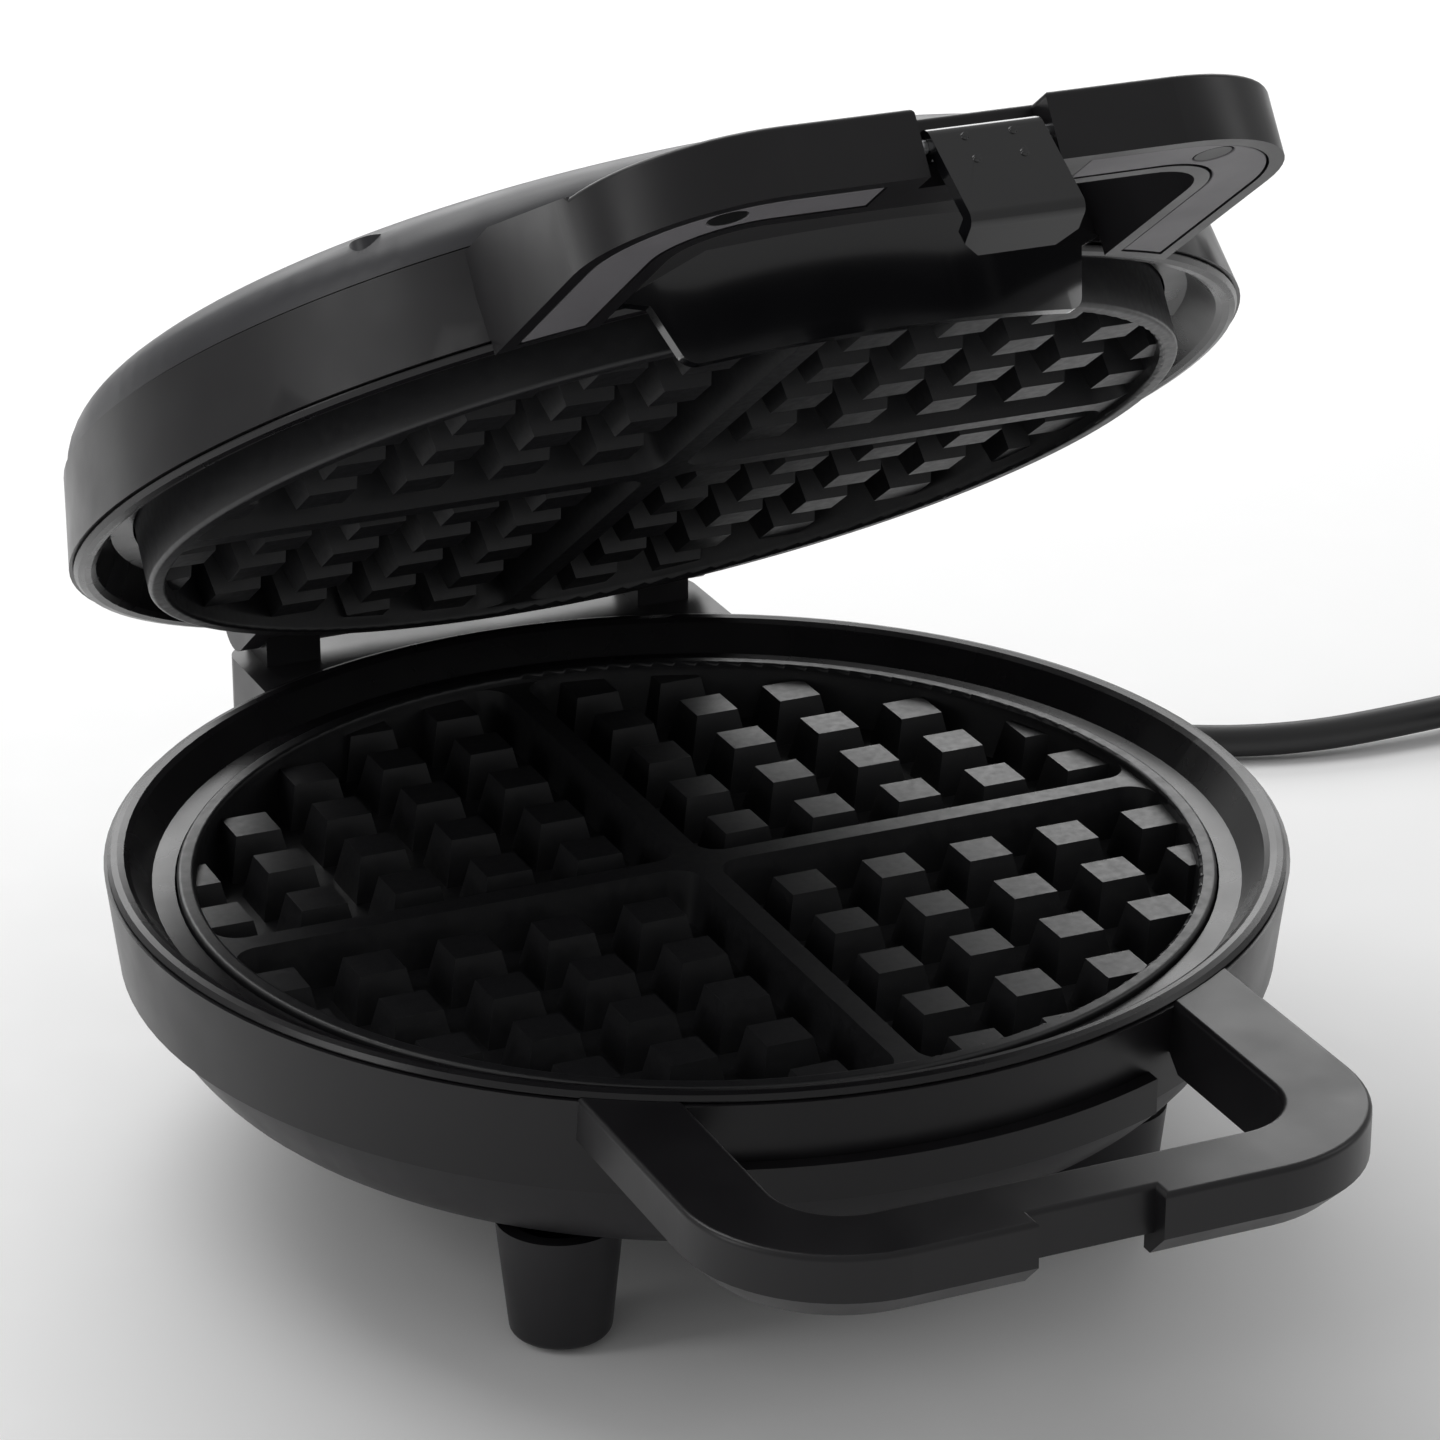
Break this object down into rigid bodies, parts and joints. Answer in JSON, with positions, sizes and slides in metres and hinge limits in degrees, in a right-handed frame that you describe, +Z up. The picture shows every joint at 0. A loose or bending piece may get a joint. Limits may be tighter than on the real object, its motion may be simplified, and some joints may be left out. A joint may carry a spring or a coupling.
{
  "type": "round waffle maker",
  "caption": "Round countertop waffle maker with a hinged lid, peg-grid cooking plates, a loop handle with a swinging latch, and a mains cord.",
  "frame": {"origin": "on the table under the middle of the cooking plates", "axes": "+Z up, -Y toward the loop handle, +Y toward the hinge and the cord outlet, +X to the right seen from the handle"},
  "size_m": [0.4384, 0.3735, 0.2224],
  "materials": {
    "base_plastic": "satin moulded",
    "bowl_plastic": "satin moulded",
    "lid_plastic": "satin moulded",
    "dome_plastic": "satin moulded",
    "cover_plastic": "fine texture",
    "gloss_plastic": "polished",
    "bezel_plastic": "polished",
    "nonstick": "non-stick coated casting",
    "heater_sheath": "drawn tube",
    "pan_sheet": "pressed sheet",
    "screw_steel": "zinc plated",
    "pin_steel": "ground",
    "phenolic": "moulded",
    "terminal_plastic": "moulded",
    "wire_sleeve": "woven glass sleeve",
    "foot_rubber": "matt",
    "cord_rubber": "smooth",
    "plug_plastic": "moulded",
    "blade_brass": "drawn",
    "tie_plastic": "moulded",
    "lens_red": "clear tinted",
    "lens_green": "clear tinted",
    "lamp_board": "laminate"
  },
  "bodies": {
    "base": {"base_belt": "base_plastic", "rear_cover": "base_plastic", "rear_cover_screws": "screw_steel", "base_bowl": "bowl_plastic", "base_screws": "screw_steel", "foot_pads": "foot_rubber", "base_bezel": "bezel_plastic", "lower_plate": "nonstick", "lower_element": "heater_sheath", "lower_reflector": "pan_sheet", "lower_plate_screws": "screw_steel", "reflector_screws": "screw_steel", "thermostat": "phenolic", "thermal_fuse": "terminal_plastic", "terminal_block": "terminal_plastic", "mains_leads": "wire_sleeve", "strain_relief": "cord_rubber", "mains_cord": "cord_rubber", "cord_coil": "cord_rubber", "cord_tie": "tie_plastic", "plug_body": "plug_plastic", "plug_blades": "blade_brass"},
    "lid": {"lid_belt": "lid_plastic", "lid_bezel": "bezel_plastic", "lid_dome": "dome_plastic", "front_guard": "gloss_plastic", "handle_cover_left": "cover_plastic", "handle_cover_right": "cover_plastic", "handle_screws": "screw_steel", "upper_plate": "nonstick", "upper_element": "heater_sheath", "upper_reflector": "pan_sheet", "upper_plate_screws": "screw_steel", "lid_post_screws": "screw_steel", "dome_screws": "screw_steel", "power_lens": "lens_red", "ready_lens": "lens_green", "lamp_board": "lamp_board", "hinge_pins": "pin_steel", "latch_pin": "pin_steel"},
    "latch": {"latch": "gloss_plastic"}
  },
  "joints": [
    {"name": "lid_hinge", "type": "hinge", "parent": "base", "child": "lid", "pos_m": [0, 0.111, 0.068], "axis": [-1, 0, 0], "range_deg": [-35, 60]},
    {"name": "latch_pivot", "type": "hinge", "parent": "lid", "child": "latch", "pos_m": [0, -0.10665, 0.21674], "axis": [-1, 0, 0], "range_deg": [-24, 60]}
  ]
}
